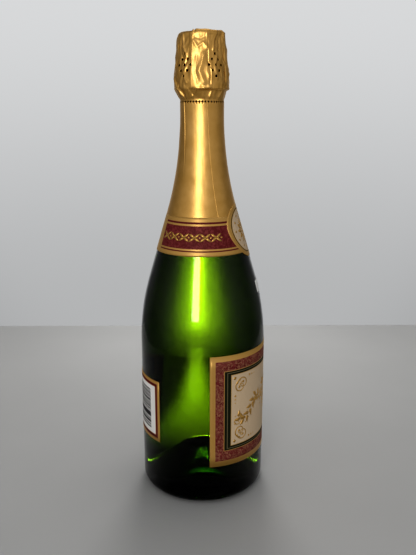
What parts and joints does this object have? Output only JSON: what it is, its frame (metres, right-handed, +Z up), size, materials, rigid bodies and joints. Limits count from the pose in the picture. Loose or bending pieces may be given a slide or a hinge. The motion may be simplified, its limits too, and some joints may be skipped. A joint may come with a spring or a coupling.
{
  "type": "sparkling wine bottle",
  "caption": "Sealed sparkling-wine bottle of green glass with punt, gold foil hood and skirt, wire cage, mushroom cork, paper labels and wine inside.",
  "frame": {"origin": "centre of the foot, on the surface that the bottle stands on", "axes": "+Z up along the bottle's axis; the front label faces -Y"},
  "size_m": [0.088, 0.0884, 0.316],
  "materials": {
    "green_glass": "dark green bottle glass, smooth, with slight mould waviness",
    "wine": "clear pale straw wine",
    "gold_foil": "satin gold lacquered foil, crinkled over the cage",
    "label_paper": "printed label paper, maroon, cream and satin gold",
    "white_paper": "plain white paper",
    "pressed_cork": "agglomerate of small cork granules",
    "natural_cork": "natural cork with fine pores",
    "cap_metal": "gold lacquered tinplate",
    "cage_wire": "galvanised steel wire"
  },
  "bodies": {
    "bottle": {"glass_bottle": "green_glass", "wine": "wine", "foil_skirt": "gold_foil", "neck_label": "label_paper", "front_label": "label_paper", "back_label": "label_paper", "price_sticker": "white_paper"},
    "cork": {"cork_stem": "pressed_cork", "cork_disc_upper": "natural_cork", "cork_disc_lower": "natural_cork"},
    "cage": {"cage_cap": "cap_metal", "cage_frame": "cage_wire", "cage_belt": "cage_wire"},
    "key": {"cage_key": "cage_wire"},
    "hood": {"foil_hood": "gold_foil"}
  },
  "joints": [
    {"name": "cork_pull", "type": "slide", "parent": "bottle", "child": "cork", "axis": [0, 0, 1], "range_m": [0, 0.06]},
    {"name": "cage_lift", "type": "slide", "parent": "cork", "child": "cage", "axis": [0, 0, 1], "range_m": [0, 0.06], "deforming": ["cage_frame", "cage_belt"]},
    {"name": "hood_lift", "type": "slide", "parent": "cage", "child": "hood", "axis": [0, 0, 1], "range_m": [0, 0.08], "deforming": ["foil_hood"]},
    {"name": "key_fold", "type": "hinge", "parent": "cage", "child": "key", "pos_m": [-0.00844, 0.01324, 0.28265], "axis": [-0.8434, -0.5373, 0], "range_deg": [0, 100]}
  ]
}
